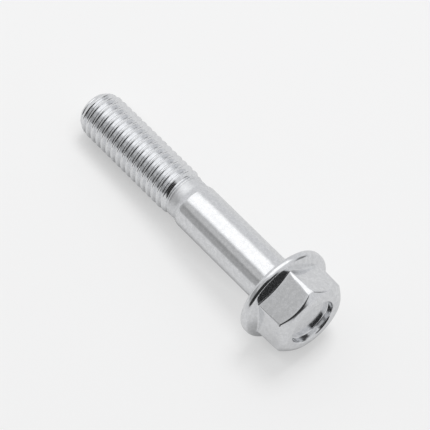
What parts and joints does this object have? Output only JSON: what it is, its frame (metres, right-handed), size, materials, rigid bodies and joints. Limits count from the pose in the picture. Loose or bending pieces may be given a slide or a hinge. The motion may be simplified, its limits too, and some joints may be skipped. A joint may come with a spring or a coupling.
{
  "type": "hexagon flange bolt",
  "caption": "Steel bolt with a hexagon head on a round flange, a plain shank and a right-hand thread, standing on its head.",
  "frame": {"origin": "on the bolt's axis, at the flat end of its head, on which it stands", "axes": "+Z along the axis, from the end of the head to the point of the thread, +X through a corner of the hexagon"},
  "size_m": [0.016, 0.016, 0.0526],
  "materials": {
    "zinc_plated_steel": "bright zinc plating over cold headed and rolled steel"
  },
  "bodies": {
    "root": {"flange_bolt": "zinc_plated_steel"}
  },
  "joints": []
}
